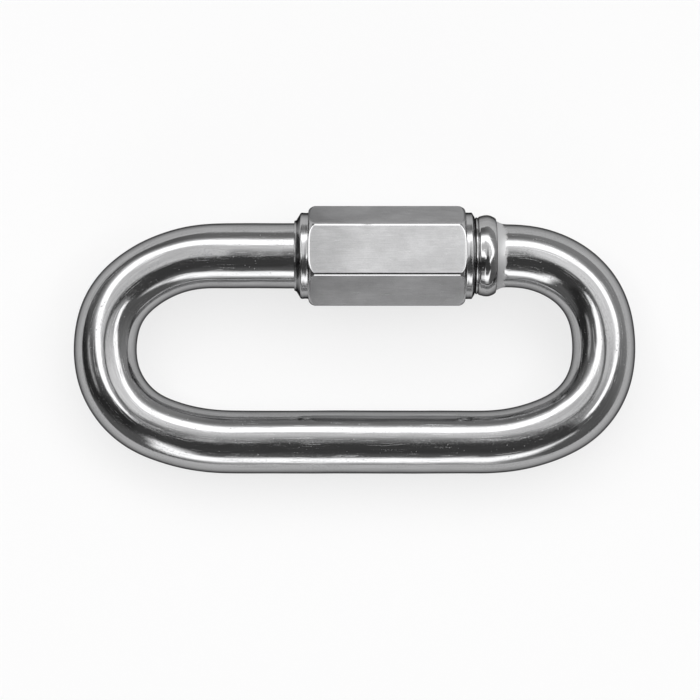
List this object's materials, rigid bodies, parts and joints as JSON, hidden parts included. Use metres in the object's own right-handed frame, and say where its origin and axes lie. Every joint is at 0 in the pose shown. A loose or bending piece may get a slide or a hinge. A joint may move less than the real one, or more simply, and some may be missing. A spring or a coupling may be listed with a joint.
{
  "type": "chain quick link",
  "caption": "Oval link bent from round steel bar, with a gate in its side that a hexagonal threaded sleeve nut opens and closes; joins chain, rings and shackles.",
  "frame": {"origin": "middle of the eye, on the middle plane of the bar", "axes": "+X along the link towards the bead, +Y towards the side with the nut, +Z out of the link's plane"},
  "size_m": [0.089, 0.0424, 0.0148],
  "materials": {
    "polished_steel": "polished, with fine scratches along the bar",
    "satin_steel": "satin flats with grain along the nut, bright turned ends"
  },
  "bodies": {
    "link": {"link_body": "polished_steel"},
    "nut": {"sleeve_nut": "satin_steel"}
  },
  "joints": [
    {"name": "nut_travel", "type": "slide", "parent": "link", "child": "nut", "axis": [-1, 0, 0], "range_m": [0, 0.015]}
  ]
}
